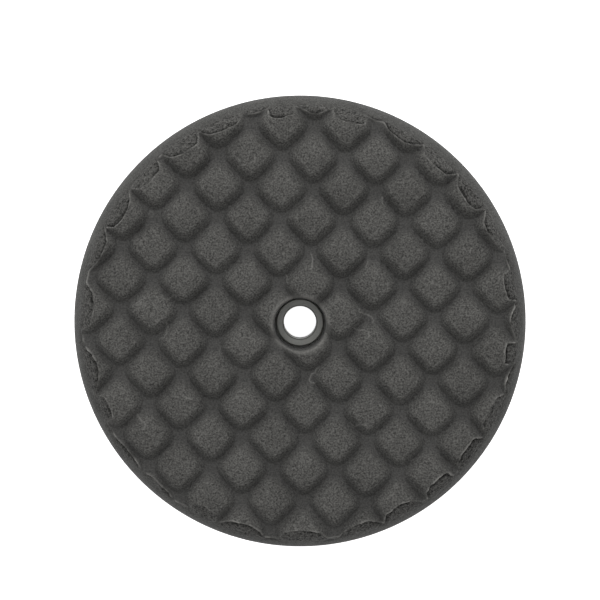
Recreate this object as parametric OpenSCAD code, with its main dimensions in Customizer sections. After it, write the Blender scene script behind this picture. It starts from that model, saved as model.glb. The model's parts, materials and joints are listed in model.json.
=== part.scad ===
// Double-sided foam polishing pad with a riveted quick-connect hub.
// Two identical waffle-faced foam discs are bonded to a stiff core plate and to each other.
// The pad lies on its back face, with the bore along +Z and the origin under its centre.

/* [Overall] */
// Outside diameter of the pad
pad_d = 203.2; // [150:0.2:250]
// Thickness of each foam disc, from the seam between the two to the working face
foam_t = 25; // [20:0.5:30]

/* [Waffle face] */
// Distance between neighbouring blocks of the waffle
waffle_pitch = 19.4; // [15:0.1:24]
// Direction of the first set of grooves, measured from +X
waffle_angle = 43.3; // [0:0.1:90]
// Where a block's centre lies along the first set of grooves
block_shift_x = -4; // [-9.7:0.1:9.7]
// Where a block's centre lies across the first set of grooves
block_shift_y = -9.2; // [-9.7:0.1:9.7]
// Width of a groove at the working face
groove_w = 8; // [5:0.5:10]
// Width of a groove at its floor
groove_floor_w = 3; // [1:0.5:4]
// Depth of a groove below the working face
groove_depth = 5.5; // [3:0.5:7]

/* [Foam edges] */
// Radius of the barrel-shaped rim, centred level with the seam
rim_r = 32.2; // [31:0.2:45]
// Size of the bevel where the rim meets the seam
seam_bevel = 1; // [0.5:0.25:3]

/* [Hub] */
// Diameter of the bore, for a 14.3 mm (9/16 in) post
bore_d = 14.6; // [12:0.1:18]
// Wall of the collar around the bore
collar_wall = 3.2; // [1.5:0.1:4]
// Height of each collar above the seam
collar_rise = 6; // [5:0.5:9]
// Chamfer at the mouth of the bore
bore_chamfer = 0.5; // [0.3:0.1:1.2]
// Rounding of the collar's outer edge
collar_round = 0.6; // [0.3:0.1:1]
// Half the width of the detent groove, at the bore wall
detent_half_w = 1.6; // [1:0.1:2]
// Depth of the detent groove below the bore wall
detent_depth = 0.9; // [0.5:0.1:1.2]
// Diameter of the hub's flange
flange_d = 56; // [50:1:70]
// Thickness of the hub's flange
flange_t = 2; // [1.5:0.25:3]
// Wall of the spigot that centres the flange in the core plate, outside the collar
spigot_wall = 3; // [2:0.25:5]

/* [Rivets] */
// Number of rivets
rivet_n = 6; // [4:1:8]
// Distance from a rivet's centre to the flange's edge
rivet_inset = 6.5; // [5:0.25:8]
// Diameter of a rivet's shank
rivet_d = 4; // [3:0.25:4.5]
// Diameter of a rivet's head
head_d = 7.6; // [6:0.2:8]
// Height of a rivet's head
head_h = 1.2; // [0.8:0.1:1.6]

/* [Core and bonds] */
// Distance from the core plate's edge to the rim
core_inset = 26; // [15:1:35]
// Thickness of the core plate
core_t = 1.6; // [1:0.2:3]
// Thickness of the adhesive between the core plate and a foam disc
bond_t = 0.3; // [0.2:0.05:0.5]
// Thickness of the adhesive in the seam between the two foam discs
seam_t = 0.4; // [0.2:0.05:0.6]
// How far the seam adhesive stays inside the rim's bevel
seam_inset = 1; // [0.5:0.25:3]

/* [Clearances] */
// Radial gap between pieces that pass through one another
slip_gap = 0.1; // [0.05:0.05:0.3]
// Radial gap between pieces that lie side by side
edge_gap = 0.3; // [0.2:0.05:0.6]
// Gap between the foam and the rivets' heads
head_gap = 0.2; // [0.1:0.05:0.5]
// Radial gap between a collar and the hole through its foam disc
well_gap = 0.9; // [0.5:0.1:3]

/* [Hidden] */
$fn = 96;

pad_r = pad_d / 2;
bore_r = bore_d / 2;
collar_r = bore_r + collar_wall;
foam_hole_r = collar_r + well_gap;
spigot_r = collar_r + spigot_wall;
flange_r = flange_d / 2;
rivet_circle_r = flange_r - rivet_inset;
rim_centre_r = pad_r - rim_r;
core_r = pad_r - core_inset;
core_half_t = core_t / 2;
// Heights above the seam
flange_top = core_half_t + flange_t;
head_top = flange_top + head_h;
bond_top = core_half_t + bond_t;
seam_top = seam_t / 2;
// Radii of the steps in a foam disc's inner side
hub_pocket_r = flange_r + edge_gap;
core_pocket_r = core_r + edge_gap;
// Grooves on each side of the pad's axis, enough to cross the whole face
groove_count = ceil(pad_r / waffle_pitch) + 1;
// A cut starts this far outside the solid that it cuts
cut_margin = 1;

// Everything on the back of the pad is the front turned over about +X
module turned_over() {
    rotate([180, 0, 0]) children();
}

// The seam lies one foam thickness above the surface that the pad rests on
module at_seam() {
    translate([0, 0, foam_t]) children();
}

// One ring, from its inner radius to its outer radius
module ring(inner_r, outer_r, bottom, top) {
    translate([0, 0, bottom])
        difference() {
            cylinder(r = outer_r, h = top - bottom);
            translate([0, 0, -cut_margin])
                cylinder(r = inner_r, h = top - bottom + 2 * cut_margin);
        }
}

// Half of the foam disc's section, with its rounded rim, before the pockets are cut
module foam_section() {
    translate([foam_hole_r, seam_top])
        square([rim_centre_r - foam_hole_r, foam_t - seam_top]);
    intersection() {
        translate([rim_centre_r, 0]) circle(r = rim_r);
        polygon([
            [rim_centre_r, seam_top], [pad_r - seam_bevel, seam_top],
            [pad_r, seam_top + seam_bevel], [pad_r, foam_t], [rim_centre_r, foam_t]
        ]);
    }
}

// One straight groove along +X, its floor below the working face
module groove() {
    slope = (groove_w - groove_floor_w) / 2 / groove_depth;
    mouth_half_w = groove_w / 2 + slope * cut_margin;
    rotate([90, 0, 90])
        translate([0, 0, -pad_r])
            linear_extrude(height = pad_d)
                polygon([
                    [-groove_floor_w / 2, foam_t - groove_depth],
                    [groove_floor_w / 2, foam_t - groove_depth],
                    [mouth_half_w, foam_t + cut_margin],
                    [-mouth_half_w, foam_t + cut_margin]
                ]);
}

// A row of parallel grooves that leaves a block centred at the given shift
module groove_row(shift) {
    for (i = [-groove_count : groove_count - 1])
        translate([0, shift + (i + 0.5) * waffle_pitch, 0]) groove();
}

// One foam disc: its face up, its inner side shaped to the hub, the plate and the seam
module foam_disc() {
    difference() {
        rotate_extrude() foam_section();
        translate([0, 0, seam_top - cut_margin])
            cylinder(r = core_pocket_r, h = bond_top - seam_top + cut_margin);
        translate([0, 0, seam_top - cut_margin])
            cylinder(r = hub_pocket_r, h = head_top + head_gap - seam_top + cut_margin);
        rotate([0, 0, waffle_angle]) groove_row(block_shift_y);
        rotate([0, 0, waffle_angle + 90]) groove_row(-block_shift_x);
    }
}

// Half of the hub's section: spigot, flange and collar around half of the detent groove
module hub_section() {
    difference() {
        union() {
            translate([bore_r, 0]) square([spigot_r - bore_r, core_half_t]);
            translate([bore_r, core_half_t]) square([flange_r - bore_r, flange_t]);
            translate([bore_r, 0]) square([collar_wall, collar_rise - collar_round]);
            translate([bore_r, 0]) square([collar_wall - collar_round, collar_rise]);
            translate([collar_r - collar_round, collar_rise - collar_round])
                circle(r = collar_round);
        }
        polygon([
            [bore_r - cut_margin, -cut_margin], [bore_r + detent_depth, -cut_margin],
            [bore_r + detent_depth, detent_half_w - detent_depth],
            [bore_r, detent_half_w], [bore_r - cut_margin, detent_half_w]
        ]);
        polygon([
            [bore_r - cut_margin, collar_rise - bore_chamfer],
            [bore_r, collar_rise - bore_chamfer],
            [bore_r + bore_chamfer, collar_rise],
            [bore_r + bore_chamfer, collar_rise + cut_margin],
            [bore_r - cut_margin, collar_rise + cut_margin]
        ]);
    }
}

// Copies of a piece at each rivet's place
module at_rivets() {
    for (i = [0 : rivet_n - 1])
        rotate([0, 0, i * 360 / rivet_n])
            translate([rivet_circle_r, 0, 0]) children();
}

// Holes for the rivets, right through a plate or flange
module rivet_holes() {
    at_rivets()
        translate([0, 0, -head_top])
            cylinder(r = rivet_d / 2 + slip_gap, h = 2 * head_top);
}

// Half of the hub, its flange on the core plate and its spigot half way through it
module hub_half() {
    difference() {
        rotate_extrude() hub_section();
        rivet_holes();
    }
}

// A rivet's head, domed, with its flat side down
module rivet_head() {
    dome_r = (head_d * head_d / 4 + head_h * head_h) / (2 * head_h);
    intersection() {
        translate([0, 0, head_h - dome_r]) sphere(r = dome_r);
        cylinder(r = head_d / 2, h = head_h);
    }
}

// A rivet through both flanges and the core plate
module rivet() {
    union() {
        translate([0, 0, -flange_top]) cylinder(r = rivet_d / 2, h = 2 * flange_top);
        translate([0, 0, flange_top]) rivet_head();
        turned_over() translate([0, 0, flange_top]) rivet_head();
    }
}

// Adhesive between the core plate and a foam disc
module bond_film() {
    ring(hub_pocket_r, core_r, core_half_t, bond_top);
}

module front_foam() { color("#454442") at_seam() foam_disc(); }
module back_foam() { color("#454442") at_seam() turned_over() foam_disc(); }
module front_hub() { color("#3b3c3a") at_seam() hub_half(); }
module back_hub() { color("#3b3c3a") at_seam() turned_over() hub_half(); }

// Stiff plate in the middle of the pad
module core_plate() {
    color("#1e1e1f") at_seam()
        difference() {
            ring(spigot_r + slip_gap, core_r, -core_half_t, core_half_t);
            rivet_holes();
        }
}

module hub_rivets() { color("silver") at_seam() at_rivets() rivet(); }
module front_bond_film() { color("#c9b98a") at_seam() bond_film(); }
module back_bond_film() { color("#c9b98a") at_seam() turned_over() bond_film(); }

// Adhesive between the two foam discs, outside the core plate
module seam_bond_ring() {
    color("#c9b98a") at_seam()
        ring(core_pocket_r, pad_r - seam_bevel - seam_inset, -seam_top, seam_top);
}

front_foam();
back_foam();
front_hub();
back_hub();
core_plate();
hub_rivets();
front_bond_film();
back_bond_film();
seam_bond_ring();
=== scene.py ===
"""Double-sided foam polishing pad: waffle foam discs round a riveted quick-connect hub."""

import json
import math

import bpy
import numpy as np
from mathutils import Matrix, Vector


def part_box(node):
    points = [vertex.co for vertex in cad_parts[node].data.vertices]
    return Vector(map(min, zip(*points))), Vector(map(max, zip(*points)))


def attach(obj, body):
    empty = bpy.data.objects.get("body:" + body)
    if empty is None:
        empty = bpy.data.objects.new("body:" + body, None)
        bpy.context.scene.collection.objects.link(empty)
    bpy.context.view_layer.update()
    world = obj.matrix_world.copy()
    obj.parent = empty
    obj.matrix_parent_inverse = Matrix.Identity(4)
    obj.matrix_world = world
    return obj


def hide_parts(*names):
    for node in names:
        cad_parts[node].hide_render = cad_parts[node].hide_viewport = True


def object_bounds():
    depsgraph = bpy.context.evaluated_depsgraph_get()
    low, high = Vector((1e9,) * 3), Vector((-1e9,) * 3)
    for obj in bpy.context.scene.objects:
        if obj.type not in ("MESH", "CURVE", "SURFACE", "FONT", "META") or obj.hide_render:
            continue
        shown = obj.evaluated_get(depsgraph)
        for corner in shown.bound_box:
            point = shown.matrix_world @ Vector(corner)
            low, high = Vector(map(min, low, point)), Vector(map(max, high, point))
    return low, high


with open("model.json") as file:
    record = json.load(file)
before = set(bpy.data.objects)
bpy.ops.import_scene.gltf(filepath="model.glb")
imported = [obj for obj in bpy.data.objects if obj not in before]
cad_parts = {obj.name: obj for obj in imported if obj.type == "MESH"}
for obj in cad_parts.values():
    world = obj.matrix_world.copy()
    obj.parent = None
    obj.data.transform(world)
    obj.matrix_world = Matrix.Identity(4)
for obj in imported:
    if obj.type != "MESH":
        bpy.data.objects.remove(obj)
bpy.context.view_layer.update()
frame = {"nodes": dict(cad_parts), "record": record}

# ---- Sizes, in metres -------------------------------------------------------------------

MM = 0.001
low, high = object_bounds()
PAD_R = (high.x - low.x) / 2
SEAM_Z = (high.z + low.z) / 2
FACE_H = high.z - SEAM_Z  # from the seam to the working face
FLANGE_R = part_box("front_hub")[1].x
CORE_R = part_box("core_plate")[1].x
RIVET_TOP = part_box("hub_rivets")[1].z - SEAM_Z
BOND_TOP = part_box("front_bond_film")[1].z - SEAM_Z
SEAM_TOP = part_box("seam_bond_ring")[1].z - SEAM_Z
BORE_R = frame["record"]["mounts"][0]["dims"]["r_mm"] * MM

RIM_R = 32.2 * MM  # radius of the barrel-shaped rim
RIM_CENTRE_R = PAD_R - RIM_R
SEAM_BEVEL = 1.0 * MM
BORE_CHAMFER = 0.5 * MM
HOLE_R = 11.4 * MM
HOLE_LIP_R = 1.3 * MM  # rounding where the hole meets the face
POCKET_GAP = 0.3 * MM
HEAD_GAP = 0.2 * MM
SHELF_H = RIVET_TOP + HEAD_GAP  # height above the seam of the foam's shelf over the flange

WAFFLE_PITCH = 19.4 * MM
WAFFLE_ANGLE = math.radians(43.3)
BLOCK_SHIFT = (-4.0 * MM, -9.2 * MM)  # where a block's centre lies, along and across
BLOCK_HALF = 7.5 * MM
BLOCK_CORNER_R = 3.8 * MM
BLOCK_CROWN = 1.3 * MM  # how much lower a block's edges are than its middle
SHOULDER = 1.6 * MM  # how far the wall's upper rounding reaches into a block
VALLEY_HALF = WAFFLE_PITCH / 2 - BLOCK_HALF  # from a block's edge to the groove's middle
GROOVE_DEPTH = 5.5 * MM
GROOVE_CURVE = 1.5  # 1 would make straight walls, and more rounds the blocks' shoulders

# ---- Unevenness of moulded, ground and torn foam, in metres ------------------------------

DRIFT = 0.35 * MM  # how far the waffle's lines wander
DRIFT_LENGTH = 9 * MM
BLOCK_UNEVEN = 0.15 * MM  # how much one block's height differs from another's
PEBBLE = 0.05 * MM  # relief of the moulded skin
PEBBLE_LENGTH = 0.9 * MM

LONG_WOBBLE = 0.5 * MM  # unevenness of the ground rim near the face
LONG_WOBBLE_LENGTH = 9 * MM
SHORT_WOBBLE = 0.35 * MM
SHORT_WOBBLE_LENGTH = 2.8 * MM
EVEN_RIM_H = 14 * MM  # height above the seam up to which the rim is even
EVEN_RIM_BLEND = 5 * MM
SMOOTH_RIM_H = 16.5 * MM  # height above the seam up to which the rim is smooth
SMOOTH_RIM_BLEND = 3 * MM
FINE_GRIT = 0.2 * MM  # relief of the cut cells above that
FINE_GRIT_LENGTH = 0.9 * MM
COARSE_GRIT = 0.12 * MM
COARSE_GRIT_LENGTH = 2.6 * MM

CUT_BLEND = 0.25 * MM  # from the skin to the ground rim, across the torn line
LEAST_SLOPE = 0.6  # keeps the torn line's width bounded where the two surfaces graze
SLOPE_STEP = 0.05 * MM
LIP_RISE = 0.5 * MM  # the skin curls up along the torn line
LIP_INSET = 0.1 * MM
LIP_W = 0.26 * MM
SLIT_DEPTH = 1.5 * MM  # the cells gape just outside it
SLIT_OUTSET = 0.7 * MM
SLIT_W = 0.45 * MM
RAGGED_LENGTH = 1.8 * MM
GAPING_LENGTH = 7 * MM

TEAR_COUNT = 26  # small tears in each face's skin
TEAR_ZONE_R = 84 * MM
TEAR_POINTS = 10, 40
TEAR_STEP = 0.3 * MM
TEAR_BEND = 0.06  # how far a whole tear curves at each step, in radians
TEAR_WANDER = 0.75  # how far it strays from that curve at each step
TEAR_REACH = 9 * MM  # every tear lies within this distance of its middle
TEAR_STRENGTH = 0.1, 0.7
TEAR_W = 0.24 * MM
TEAR_RISE = 0.1 * MM
HOLE_LIP_HIGHLIGHT = 0.4  # how strongly painted highlight lightens the hole's rounded lip, from 0 to 1

# ---- Mesh spacing, in metres --------------------------------------------------------------

SECTORS = 1024  # steps round the pad
FINE = 0.3 * MM  # spacing of the rings where the ground rim meets the waffle
MEDIUM = 0.5 * MM
COARSE = 3 * MM
TORN_ZONE_DOWN = 2 * MM  # how far below the groove's floor the fine rings start
TORN_ZONE_IN = 3 * MM  # how far in from the face's edge they end
LIP_ZONE = 2 * MM  # the fine rings round the hole
SAME_PLACE = 1e-6  # points closer than this are taken as level or as one

# ---- Colours and grain of the foam ---------------------------------------------------------

# Each pair is the colour in the pits and the colour on the specks
SKIN = (0.034, 0.0335, 0.032, 1), (0.130, 0.128, 0.121, 1)
# The valley pair is darker than the skin's: painted shade in the grooves
VALLEY_SHADE = (0.041, 0.0405, 0.039, 1), (0.084, 0.083, 0.080, 1)
GROUND = (0.008, 0.008, 0.0075, 1), (0.118, 0.116, 0.110, 1)
SMOOTH_RIM = (0.028, 0.028, 0.026, 1), (0.098, 0.097, 0.092, 1)
# Light colour of the small tears, and painted highlight on the raised lips along the torn line
# and on the hole's rounded lip
TEAR_AND_HIGHLIGHT = (0.28, 0.275, 0.26, 1)
# Near black: painted shade in the gaping slits
SLIT_SHADE = (0.007, 0.007, 0.007, 1)
FINE_GRAIN = 1350.0  # cells to the metre in the moulded skin and the smooth rim
COARSE_GRAIN = 1150.0  # and in the coarse rim


# ---- Noise and blending -----------------------------------------------------------------

# Each use of noise adds its own whole number to a disc's seed, so no two patterns are alike.

def smoothstep(t):
    """0 up to t = 0, 1 from t = 1, and a smooth rise between them."""
    t = np.clip(t, 0, 1)
    return t * t * (3 - 2 * t)


def bump(distance, width):
    """A smooth hill: 1 at no distance, and about a third at one width."""
    return np.exp(-((distance / width) ** 2))


def scrambled(whole, seed):
    """An even spread of values from -1 to 1 for an array of whole-number triples, which are
    multiplied by large odd numbers so that neighbours come out far apart."""
    key = whole @ np.array([73856093, 19349663, 83492791]) + seed * 40503
    key = (key ^ (key >> 13)) * 1274126177
    key = (key ^ (key >> 16)) & 0xFFFFF
    return key / 0x7FFFF - 1


def noise(points, size, seed):
    """Smooth noise from -1 to 1 at each point, with a feature about every size metres."""
    scaled = points / size
    corner = np.floor(scaled).astype(np.int64)
    share = scaled - corner
    share = share * share * (3 - 2 * share)
    total = np.zeros(len(points))
    for step in np.ndindex(2, 2, 2):
        weight = np.prod(np.where(step, share, 1 - share), axis=1)
        total += weight * scrambled(corner + np.array(step), seed)
    return total


# ---- Foam discs: the plain solid ----------------------------------------------------------


def run(start, end, spacing):
    """Evenly spaced points from start up to, but not including, end."""
    start, end = np.array(start), np.array(end)
    count = max(1, round(float(np.linalg.norm(end - start)) / spacing))
    return [start + (end - start) * i / count for i in range(count)]


def rim_arc(low_h, high_h, spacing):
    """Points up the rim's arc from one height above the seam to another, without the last."""
    first, last = math.asin(low_h / RIM_R), math.asin(high_h / RIM_R)
    count = round((last - first) * RIM_R / spacing)
    turns = [first + (last - first) * i / count for i in range(count)]
    return [np.array([RIM_CENTRE_R + RIM_R * math.cos(a), RIM_R * math.sin(a)]) for a in turns]


def foam_section():
    """The disc's closed outline as (radius, height above the seam), fine where it shows."""
    core_pocket_r, hub_pocket_r = CORE_R + POCKET_GAP, FLANGE_R + POCKET_GAP
    bevel_top = SEAM_TOP + SEAM_BEVEL
    torn_zone_h = FACE_H - GROOVE_DEPTH - TORN_ZONE_DOWN
    face_edge_r = RIM_CENTRE_R + math.sqrt(RIM_R**2 - FACE_H**2)
    torn_zone_r = face_edge_r - TORN_ZONE_IN
    lip_zone_r = HOLE_R + LIP_ZONE
    outline = run((core_pocket_r, SEAM_TOP), (PAD_R - SEAM_BEVEL, SEAM_TOP), COARSE)
    outline += run((PAD_R - SEAM_BEVEL, SEAM_TOP), (PAD_R, bevel_top), FINE)
    outline += rim_arc(bevel_top, torn_zone_h, MEDIUM)
    outline += rim_arc(torn_zone_h, FACE_H, FINE)
    outline += run((face_edge_r, FACE_H), (torn_zone_r, FACE_H), FINE)
    outline += run((torn_zone_r, FACE_H), (lip_zone_r, FACE_H), MEDIUM)
    outline += run((lip_zone_r, FACE_H), (HOLE_R, FACE_H), FINE)
    outline += run((HOLE_R, FACE_H), (HOLE_R, SHELF_H), MEDIUM)
    outline += run((HOLE_R, SHELF_H), (hub_pocket_r, SHELF_H), COARSE)
    outline += run((hub_pocket_r, SHELF_H), (hub_pocket_r, BOND_TOP), COARSE)
    outline += run((hub_pocket_r, BOND_TOP), (core_pocket_r, BOND_TOP), COARSE)
    outline += run((core_pocket_r, BOND_TOP), (core_pocket_r, SEAM_TOP), COARSE)
    return np.array(outline)


def spin_section(name, outline):
    """A closed outline of (radius, height), turned once round the bore axis into a solid."""
    bpy.ops.object.select_all(action="DESELECT")
    bpy.ops.mesh.primitive_circle_add(vertices=len(outline))
    solid = bpy.context.object
    solid.name = solid.data.name = name
    points = np.column_stack([outline[:, 0], np.zeros(len(outline)), outline[:, 1]])
    solid.data.vertices.foreach_set("co", points.ravel())
    turn = solid.modifiers.new("turn", "SCREW")
    turn.axis = "Z"
    turn.steps = turn.render_steps = SECTORS
    turn.use_merge_vertices = True
    turn.merge_threshold = SAME_PLACE
    bpy.ops.object.modifier_apply(modifier=turn.name)
    bpy.ops.object.mode_set(mode="EDIT")
    bpy.ops.mesh.select_all(action="SELECT")
    bpy.ops.mesh.normals_make_consistent(inside=False)
    bpy.ops.object.mode_set(mode="OBJECT")
    return solid


# ---- Foam discs: the waffle, the ground rim and the tears ---------------------------------


def waffle(x, y, seed):
    """The moulded skin at each point: its height above the seam, and how far down into a
    groove it is, from 0 on a block to 1 on a groove's floor."""
    flat = np.column_stack([x, y, np.zeros(len(x))])
    x = x + DRIFT * noise(flat, DRIFT_LENGTH, seed)
    y = y + DRIFT * noise(flat, DRIFT_LENGTH, seed + 1)
    along = x * math.cos(WAFFLE_ANGLE) + y * math.sin(WAFFLE_ANGLE) - BLOCK_SHIFT[0]
    across = y * math.cos(WAFFLE_ANGLE) - x * math.sin(WAFFLE_ANGLE) - BLOCK_SHIFT[1]
    column, row = np.round(along / WAFFLE_PITCH), np.round(across / WAFFLE_PITCH)
    along, across = along - column * WAFFLE_PITCH, across - row * WAFFLE_PITCH
    over_a = np.abs(along) - (BLOCK_HALF - BLOCK_CORNER_R)
    over_b = np.abs(across) - (BLOCK_HALF - BLOCK_CORNER_R)
    beyond = np.hypot(np.maximum(over_a, 0), np.maximum(over_b, 0))
    beyond += np.minimum(np.maximum(over_a, over_b), 0) - BLOCK_CORNER_R
    groove = np.clip((beyond + SHOULDER) / (SHOULDER + VALLEY_HALF), 0, 1) ** GROOVE_CURVE
    crown = BLOCK_CROWN * np.minimum((along**2 + across**2) / BLOCK_HALF**2, 2)
    block = np.column_stack([column, row, np.zeros(len(x))]).astype(np.int64)
    uneven = BLOCK_UNEVEN * scrambled(block, seed + 2) - BLOCK_UNEVEN
    height = FACE_H - GROOVE_DEPTH * groove + (1 - groove) * (uneven - crown)
    return height, groove


def even_rim(radius):
    """Height above the seam of the plain barrel-shaped rim at each radius."""
    reach = np.clip(radius - RIM_CENTRE_R, 0, RIM_R)
    return np.sqrt(RIM_R**2 - reach**2)


def ground_rim(radius, points, seed):
    """Height above the seam of the ground rim at each radius, a little uneven near the face."""
    wobble = LONG_WOBBLE * noise(points, LONG_WOBBLE_LENGTH, seed + 3)
    wobble += SHORT_WOBBLE * noise(points, SHORT_WOBBLE_LENGTH, seed + 4)
    height = even_rim(radius)
    return height + wobble * smoothstep((height - EVEN_RIM_H) / EVEN_RIM_BLEND)


def past_torn_line(x, y, points, seed):
    """How far each point is past the line where the ground rim breaks through the skin."""

    def skin_over_rim(x, y):
        return waffle(x, y, seed)[0] - ground_rim(np.hypot(x, y), points, seed)

    over = skin_over_rim(x, y)
    slope_x = skin_over_rim(x + SLOPE_STEP, y) - over
    slope_y = skin_over_rim(x, y + SLOPE_STEP) - over
    return over / np.maximum(np.hypot(slope_x, slope_y) / SLOPE_STEP, LEAST_SLOPE)


def torn_edge(past, groove, points, seed):
    """How far the skin is cut away at each point, from 0 to 1, and how strong the raised lip
    and the gaping slit along the torn line are there, from 0 upwards."""
    cut = smoothstep(past / CUT_BLEND)
    ragged = smoothstep(0.5 + 0.9 * noise(points, RAGGED_LENGTH, seed + 5))
    gaping = smoothstep(0.7 + 1.3 * noise(points, GAPING_LENGTH, seed + 10))
    lip = bump(past + LIP_INSET, LIP_W) * (0.1 + 0.9 * ragged) * (0.3 + 0.7 * gaping)
    lip *= 1 + 0.7 * bump(groove - 0.5, 0.35)  # the tips between groove and block stand proud
    slit = bump(past - SLIT_OUTSET, SLIT_W) * gaping * (1 - groove) * (0.75 + 0.25 * ragged)
    return cut, lip, slit * cut


def tear_points(rng):
    """Points along one short curved tear in the foam's skin."""
    count = rng.integers(*TEAR_POINTS)
    place_r, place_a = TEAR_ZONE_R * math.sqrt(rng.uniform(0.04, 1)), rng.uniform(0, 2 * math.pi)
    heading, turn = rng.uniform(0, 2 * math.pi), rng.uniform(-TEAR_BEND, TEAR_BEND)
    point = np.array([place_r * math.cos(place_a), place_r * math.sin(place_a)])
    points = []
    for _ in range(count):
        points.append(point)
        heading += turn + rng.uniform(-TEAR_WANDER, TEAR_WANDER)
        point = point + TEAR_STEP * np.array([math.cos(heading), math.sin(heading)])
    return np.array(points)


def tears(x, y, seed):
    """How close each point is to one of the face's small tears, from 0 to 1."""
    rng = np.random.default_rng(seed)
    mark = np.zeros(len(x))
    flat = np.column_stack([x, y])
    for _ in range(TEAR_COUNT):
        points = tear_points(rng)
        strength = rng.uniform(*TEAR_STRENGTH)
        near = np.abs(flat - points.mean(0)).max(1) < TEAR_REACH
        gap = np.linalg.norm(flat[near][:, None] - points[None], axis=2).min(1)
        mark[near] = np.maximum(mark[near], strength * bump(gap, TEAR_W))
    return mark


def hole_rounding(radius):
    """How far the rounded lip of the hole drops below the face at each radius."""
    to_hole = np.clip(HOLE_LIP_R - (radius - HOLE_R), 0, HOLE_LIP_R)
    return HOLE_LIP_R - np.sqrt(HOLE_LIP_R**2 - to_hole**2)


def shape_face(solid, seed):
    """Sculpts the waffle, the ground rim with its torn edge and the hole's lip into a disc."""
    points = np.zeros(len(solid.data.vertices) * 3)
    solid.data.vertices.foreach_get("co", points)
    points = points.reshape(-1, 3)
    x, y, h = points.T.copy()
    radius = np.hypot(x, y)
    on_face = h > FACE_H - SAME_PLACE
    above_bevel = h > SEAM_TOP + SEAM_BEVEL - SAME_PLACE
    on_rim = above_bevel & (radius > RIM_CENTRE_R) & ~on_face
    on_wall = (np.abs(radius - HOLE_R) < SAME_PLACE) & ~on_face
    outside = on_face | on_rim

    skin, groove = waffle(x, y, seed)
    ground = ground_rim(radius, points, seed)
    past = past_torn_line(x, y, points, seed)
    cut, lip, slit = torn_edge(past, groove, points, seed)

    # The face and rim follow whichever of skin and ground rim is lower, and the hole's wall
    # is squeezed to meet the face's own height
    rim_h = np.where(cut > 0, h + ground - even_rim(radius), h)
    wall_share = (h - SHELF_H) / (FACE_H - SHELF_H)
    wall_h = SHELF_H + wall_share * (skin - HOLE_LIP_R - SHELF_H)
    new_h = np.where(on_face, np.minimum(skin, ground) - hole_rounding(radius), h)
    new_h = np.where(on_rim, np.minimum(skin, rim_h), new_h)
    new_h = np.where(on_wall, wall_h, new_h)

    # The rim is coarse near the face, where it was ground last, and smooth further down
    above_smooth = np.where(on_rim, h, ground) - SMOOTH_RIM_H
    coarse = cut * smoothstep(above_smooth / SMOOTH_RIM_BLEND) * outside

    # Fine relief, pushed outwards: straight up on the face, and square to the arc on the rim
    grit = FINE_GRIT * noise(points, FINE_GRIT_LENGTH, seed + 7)
    grit += COARSE_GRIT * noise(points, COARSE_GRIT_LENGTH, seed + 8)
    pebble = PEBBLE * noise(points, PEBBLE_LENGTH, seed + 9) * (1 - groove) * (1 - cut)
    tear = tears(x, y, seed + 6) * (1 - cut) * on_face
    relief = grit * coarse - SLIT_DEPTH * slit + LIP_RISE * lip + pebble + TEAR_RISE * tear
    relief = relief * outside
    out_r = np.where(on_rim, (radius - RIM_CENTRE_R) / RIM_R, 0)
    out_h = np.where(on_rim, h / RIM_R, 1.0)
    grown = 1 + relief * out_r / np.maximum(radius, MM)
    points[:, 0], points[:, 1] = x * grown, y * grown
    points[:, 2] = new_h + relief * out_h
    solid.data.vertices.foreach_set("co", points.ravel())

    # Painted highlight: a light band round the hole's rounded lip
    from_lip = radius - HOLE_R - HOLE_LIP_R / 2
    hole_lip_highlight = HOLE_LIP_HIGHLIGHT * bump(from_lip, HOLE_LIP_R) * on_face
    marks = {
        "cut": cut * outside,
        "coarse": coarse,
        "slit": slit * outside,
        # The torn mark carries painted highlight on the raised lips and the hole's lip, and the
        # light tears
        "torn": np.maximum(np.maximum(lip * outside, tear), hole_lip_highlight),
        "groove": groove * (1 - cut) * (outside | on_wall),
    }
    for name, values in marks.items():
        attribute = solid.data.attributes.new(name, "FLOAT", "POINT")
        attribute.data.foreach_set("value", values.astype(np.float32))


def foam_disc(name, node, seed, turned_over):
    """One foam disc in its place, with its material and its tie to the frame."""
    disc = spin_section(name, foam_section())
    shape_face(disc, seed)
    bpy.ops.object.select_all(action="DESELECT")
    disc.select_set(True)
    bpy.context.view_layer.objects.active = disc
    if turned_over:
        disc.rotation_euler.x = math.pi
    disc.location.z = SEAM_Z
    bpy.ops.object.transform_apply(location=True, rotation=True, scale=True)
    bpy.ops.object.shade_smooth_by_angle(angle=math.radians(60))
    disc.data.materials.append(foam_material())
    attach(disc, "root")
    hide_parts(node)


# ---- Material tools -----------------------------------------------------------------------


def new_material(name):
    """An empty material with a shader joined to its output, and that shader."""
    material = bpy.data.materials.new(name)
    material.use_nodes = True
    nodes, links = material.node_tree.nodes, material.node_tree.links
    nodes.clear()
    shader = nodes.new("ShaderNodeBsdfPrincipled")
    output = nodes.new("ShaderNodeOutputMaterial")
    links.new(shader.outputs["BSDF"], output.inputs["Surface"])
    return material, shader


def add(tree, kind, inputs=None, **settings):
    """A new node with its settings, and its inputs set to values or joined to sockets."""
    node = tree.nodes.new(kind)
    for key, value in settings.items():
        setattr(node, key, value)
    for key, value in (inputs or {}).items():
        if isinstance(value, bpy.types.NodeSocket):
            tree.links.new(value, node.inputs[key])
        else:
            node.inputs[key].default_value = value
    return node


def own_place(tree):
    """Each point's place in the pad's own coordinates."""
    return add(tree, "ShaderNodeTexCoord").outputs["Object"]


def maths(tree, operation, *values):
    """The result of one Math node on numbers or sockets."""
    return add(tree, "ShaderNodeMath", dict(enumerate(values)), operation=operation).outputs[0]


def carried(tree, value, to_low, to_high, from_low=0.0, from_high=1.0):
    """A value carried from one range to another, and held at its ends."""
    ends = {"From Min": from_low, "From Max": from_high, "To Min": to_low, "To Max": to_high}
    return add(tree, "ShaderNodeMapRange", {"Value": value, **ends}).outputs["Result"]


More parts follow.
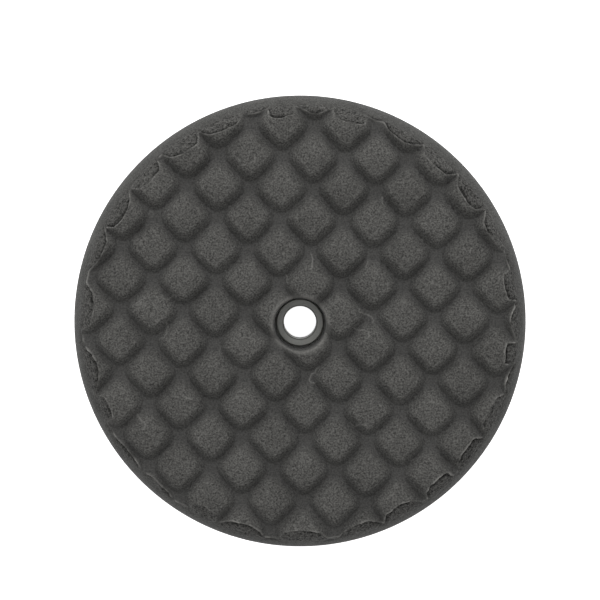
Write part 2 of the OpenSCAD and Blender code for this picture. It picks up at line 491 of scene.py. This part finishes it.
def noise_texture(tree, place, scale, detail, roughness=0.5):
    """A soft noise over the surface, from 0 to 1."""
    look = {"Vector": place, "Scale": scale, "Detail": detail, "Roughness": roughness}
    return add(tree, "ShaderNodeTexNoise", look).outputs["Fac"]


def blend_colours(tree, share, first, second):
    """A colour between two, by a share that varies over the surface."""
    node = add(tree, "ShaderNodeMix", {0: share, 6: first, 7: second}, data_type="RGBA")
    return node.outputs[2]


def shaded(tree, colour, factor):
    """A colour made lighter or darker by a factor that varies over the surface."""
    node = add(tree, "ShaderNodeVectorMath", {0: colour, 1: factor}, operation="MULTIPLY")
    return node.outputs["Vector"]


def raise_surface(tree, shader, height, distance, strength=1.0):
    """Gives the shader a relief, in which a height of 1 stands for distance metres."""
    look = {"Strength": strength, "Distance": distance, "Height": height}
    relief = add(tree, "ShaderNodeBump", look)
    tree.links.new(relief.outputs["Normal"], shader.inputs["Normal"])


# ---- Materials --------------------------------------------------------------------------


def grain_group():
    """Foam grain: pits and specks of a chosen size, for the colour and for the bump."""
    found = bpy.data.node_groups.get("foam_grain")
    if found:
        return found
    group = bpy.data.node_groups.new("foam_grain", "ShaderNodeTree")
    face = group.interface
    face.new_socket("Vector", in_out="INPUT", socket_type="NodeSocketVector")
    size = face.new_socket("Scale", in_out="INPUT", socket_type="NodeSocketFloat")
    size.default_value = FINE_GRAIN
    face.new_socket("Height", in_out="OUTPUT", socket_type="NodeSocketFloat")
    face.new_socket("Speck", in_out="OUTPUT", socket_type="NodeSocketFloat")
    inlet = group.nodes.new("NodeGroupInput")
    outlet = group.nodes.new("NodeGroupOutput")
    place, scale = inlet.outputs["Vector"], inlet.outputs["Scale"]
    cells = add(group, "ShaderNodeTexVoronoi", {"Vector": place, "Scale": scale}, feature="F1")
    fuzz = noise_texture(group, place, scale, detail=3.0, roughness=0.65)
    pits = maths(group, "SMOOTH_MIN", cells.outputs["Distance"], 0.6, 0.3)
    height = maths(group, "ADD", maths(group, "MULTIPLY", pits, 0.9), fuzz)
    speck = carried(group, fuzz, 0.0, 1.0, from_low=0.35, from_high=0.65)
    group.links.new(height, outlet.inputs["Height"])
    group.links.new(speck, outlet.inputs["Speck"])
    return group


def grain(tree, scale):
    """The height and the specks of a foam grain with scale cells to the metre."""
    node = add(tree, "ShaderNodeGroup", node_tree=grain_group())
    tree.links.new(own_place(tree), node.inputs["Vector"])
    node.inputs["Scale"].default_value = scale
    return node.outputs["Height"], node.outputs["Speck"]


def foam_colour(tree, marks, fine_speck, coarse_speck):
    """Dark grey foam: painted shade in the grooves and slits, and lighter where the skin is
    torn, which on the raised lips and the hole's lip is painted highlight.
    """
    skin = blend_colours(tree, fine_speck, *SKIN)
    # Painted shade: the grooves take the darker valley colours
    skin = blend_colours(tree, marks["groove"], skin, blend_colours(tree, fine_speck, *VALLEY_SHADE))
    ground = blend_colours(tree, coarse_speck, *GROUND)
    smooth_rim = blend_colours(tree, fine_speck, *SMOOTH_RIM)
    rim = blend_colours(tree, marks["coarse"], smooth_rim, ground)
    colour = blend_colours(tree, marks["cut"], skin, rim)
    patches = noise_texture(tree, own_place(tree), 60.0, detail=2.0)
    colour = shaded(tree, colour, carried(tree, patches, 0.88, 1.1, from_low=0.3, from_high=0.7))
    # Painted highlight on the raised lips and the hole's lip, and the light colour of the tears
    colour = blend_colours(tree, maths(tree, "MULTIPLY", marks["torn"], 0.7), colour, TEAR_AND_HIGHLIGHT)
    # Painted shade in the gaping slits along the torn line
    return blend_colours(tree, maths(tree, "MULTIPLY", marks["slit"], 0.95), colour, SLIT_SHADE)


def foam_material():
    """Dark grey open-cell foam: a fine moulded skin, coarse where it is ground or torn."""
    found = bpy.data.materials.get("dark_foam")
    if found:
        return found
    material, shader = new_material("dark_foam")
    tree = material.node_tree
    marks = {
        name: add(tree, "ShaderNodeAttribute", attribute_name=name).outputs["Fac"]
        for name in ("cut", "coarse", "torn", "slit", "groove")
    }
    fine_height, fine_speck = grain(tree, FINE_GRAIN)
    coarse_height, coarse_speck = grain(tree, COARSE_GRAIN)
    colour = foam_colour(tree, marks, fine_speck, coarse_speck)
    tree.links.new(colour, shader.inputs["Base Color"])

    # The grooves' skin is calmer than the blocks', and the cut cells stand out the most
    calm = maths(tree, "SUBTRACT", 1.0, maths(tree, "MULTIPLY", marks["groove"], 0.75))
    skin_height = maths(tree, "MULTIPLY", maths(tree, "MULTIPLY", fine_height, calm), 0.5)
    not_coarse = maths(tree, "SUBTRACT", 1.0, marks["coarse"])
    skin_height = maths(tree, "MULTIPLY", skin_height, not_coarse)
    cells = maths(tree, "MULTIPLY", coarse_height, marks["coarse"])
    height = maths(tree, "ADD", skin_height, maths(tree, "MULTIPLY", cells, 0.7))
    raise_surface(tree, shader, height, distance=0.5 * MM, strength=0.9)
    shader.inputs["Roughness"].default_value = 0.92
    shader.inputs["Specular IOR Level"].default_value = 0.12
    shader.inputs["Sheen Weight"].default_value = 0.14
    shader.inputs["Sheen Roughness"].default_value = 0.3
    return material


def bore_light_and_shade(tree, place):
    """How light the hub is at each distance from its axis: painted highlight on the bore's wall,
    painted shade in the chamfer, and the hub's own colour on the rest."""
    part = add(tree, "ShaderNodeSeparateXYZ", {"Vector": place}).outputs
    squares = [maths(tree, "MULTIPLY", part[axis], part[axis]) for axis in ("X", "Y")]
    radius = maths(tree, "SQRT", maths(tree, "ADD", *squares))
    from_wall = maths(tree, "SUBTRACT", radius, BORE_R)
    share = maths(tree, "DIVIDE", from_wall, 2 * BORE_CHAMFER)
    ramp = add(tree, "ShaderNodeValToRGB", {"Fac": share})
    stops = ramp.color_ramp.elements
    # Painted highlight on the wall, then painted shade in the chamfer, then the plain face
    stops[0].position, stops[0].color = 0.0, (1.5, 1.5, 1.5, 1)
    stops[1].position, stops[1].color = 0.1, (0.5, 0.5, 0.5, 1)
    for position, light in ((0.5, 0.55), (0.62, 1.0)):
        stops.new(position).color = (light, light, light, 1)
    return ramp.outputs["Color"]


def moulded_plastic(name, colour, roughness, painted_bore_light=False):
    """Satin moulded plastic with faint turning marks round the bore."""
    material, shader = new_material(name)
    tree = material.node_tree
    place = own_place(tree)
    flow = noise_texture(tree, place, 900.0, detail=3.0)
    dark, light = ([c * share for c in colour] + [1] for share in (0.8, 1.25))
    shade = blend_colours(tree, flow, dark, light)
    if painted_bore_light:
        # Painted highlight and shade round the bore
        shade = shaded(tree, shade, bore_light_and_shade(tree, place))
    tree.links.new(shade, shader.inputs["Base Color"])
    gloss = carried(tree, flow, roughness - 0.07, roughness + 0.07)
    tree.links.new(gloss, shader.inputs["Roughness"])
    look = {"Vector": place, "Scale": 420.0, "Distortion": 0.6, "Detail": 2.0}
    rings = add(tree, "ShaderNodeTexWave", look, wave_type="RINGS", rings_direction="Z")
    turning_marks = maths(tree, "MULTIPLY", rings.outputs["Fac"], 0.6)
    height = maths(tree, "ADD", turning_marks, flow)
    raise_surface(tree, shader, height, distance=0.1 * MM, strength=0.35)
    return material


def dried_adhesive():
    """Amber contact adhesive, brushed on and dried in streaks."""
    material, shader = new_material("dried_adhesive")
    tree = material.node_tree
    streaks = noise_texture(tree, own_place(tree), 240.0, detail=5.0)
    colour = blend_colours(tree, streaks, (0.42, 0.33, 0.15, 1), (0.72, 0.62, 0.36, 1))
    tree.links.new(colour, shader.inputs["Base Color"])
    raise_surface(tree, shader, streaks, distance=0.2 * MM)
    shader.inputs["Roughness"].default_value = 0.38
    return material


def rivet_metal():
    """Satin aluminium with the fine scuffs that a rivet set leaves."""
    material, shader = new_material("rivet_metal")
    tree = material.node_tree
    scuffs = noise_texture(tree, own_place(tree), 2200.0, detail=4.0)
    colour = blend_colours(tree, scuffs, (0.55, 0.55, 0.56, 1), (0.78, 0.78, 0.79, 1))
    tree.links.new(colour, shader.inputs["Base Color"])
    tree.links.new(carried(tree, scuffs, 0.25, 0.5), shader.inputs["Roughness"])
    shader.inputs["Metallic"].default_value = 1.0
    return material


def finish_cad_nodes():
    """Gives each CAD node that stays its own finish."""
    # The hub's grey is lighter than its dark plastic: painted light against the shade at the
    # bottom of the hole
    hub = moulded_plastic("hub_plastic", (0.300, 0.304, 0.283), 0.4, painted_bore_light=True)
    plate = moulded_plastic("plate_plastic", (0.013, 0.013, 0.014), 0.5)
    glue = dried_adhesive()
    finishes = {
        "front_hub": hub,
        "back_hub": hub,
        "core_plate": plate,
        "hub_rivets": rivet_metal(),
        "front_bond_film": glue,
        "back_bond_film": glue,
        "seam_bond_ring": glue,
    }
    for node, material in finishes.items():
        slots = frame["nodes"][node].data.materials
        slots.clear()
        slots.append(material)


# ---- Studio -----------------------------------------------------------------------------


def white_floor():
    """A plain white floor that glows softly, as a light table does."""
    bpy.ops.object.select_all(action="DESELECT")
    bpy.ops.mesh.primitive_plane_add(size=6, location=(0, 0, low.z - 0.2 * MM))
    floor = bpy.context.object
    floor.name = "floor"
    material, shader = new_material("white_floor")
    tree = material.node_tree
    shader.inputs["Base Color"].default_value = (0.9, 0.9, 0.9, 1)
    shader.inputs["Roughness"].default_value = 0.9
    shader.inputs["Emission Color"].default_value = (1, 1, 1, 1)
    # Full brightness where it is seen, and less as a source of light on the pad
    rays = add(tree, "ShaderNodeLightPath")
    glow = carried(tree, rays.outputs["Is Diffuse Ray"], 1.0, 0.12)
    tree.links.new(glow, shader.inputs["Emission Strength"])
    floor.data.materials.append(material)


def bright_sky():
    """A white sky that is brightest overhead as a light, and plain white where it is seen."""
    world = bpy.data.worlds.new("studio")
    world.use_nodes = True
    tree = world.node_tree
    sky = tree.nodes["Background"]
    sky.inputs["Color"].default_value = (1, 1, 1, 1)
    direction = add(tree, "ShaderNodeTexCoord").outputs["Generated"]
    upward = add(tree, "ShaderNodeSeparateXYZ", {"Vector": direction}).outputs["Z"]
    overhead = carried(tree, upward, 0.06, 0.98)
    rays = add(tree, "ShaderNodeLightPath")
    choice = {0: rays.outputs["Is Camera Ray"], 2: overhead, 3: 1.0}
    strength = add(tree, "ShaderNodeMix", choice).outputs[0]
    tree.links.new(strength, sky.inputs["Strength"])
    bpy.context.scene.world = world


def key_light():
    """One large soft light beyond the pad's +Y side, turned to the middle of the pad."""
    bpy.ops.object.light_add(type="AREA", location=(-0.06, 0.84, 0.72))
    light = bpy.context.object
    light.name = "key_light"
    light.data.shape = "RECTANGLE"
    light.data.size, light.data.size_y = 1.2, 1.0
    light.data.energy = 8.2
    aim = -light.location.normalized()
    light.rotation_euler = aim.to_track_quat("-Z", "Y").to_euler()


def camera_above():
    """Looks down on the front face from a little towards +Y of the bore axis."""
    lean = math.radians(3.2)
    distance = 0.64
    aim_above = math.radians(0.879)  # the pad sits a little below the picture's middle
    data = bpy.data.cameras.new("camera")
    data.lens = 85
    data.sensor_width = 36
    camera = bpy.data.objects.new("camera", data)
    camera.location = (0, distance * math.sin(lean), SEAM_Z + distance * math.cos(lean))
    camera.rotation_euler = (aim_above - lean, 0, 0)
    bpy.context.scene.collection.objects.link(camera)
    bpy.context.scene.camera = camera


camera_above()
white_floor()
bright_sky()
key_light()
foam_disc("front_foam_disc", "front_foam", seed=11, turned_over=False)
foam_disc("back_foam_disc", "back_foam", seed=47, turned_over=True)
finish_cad_nodes()
bpy.context.scene.view_settings.view_transform = "Standard"
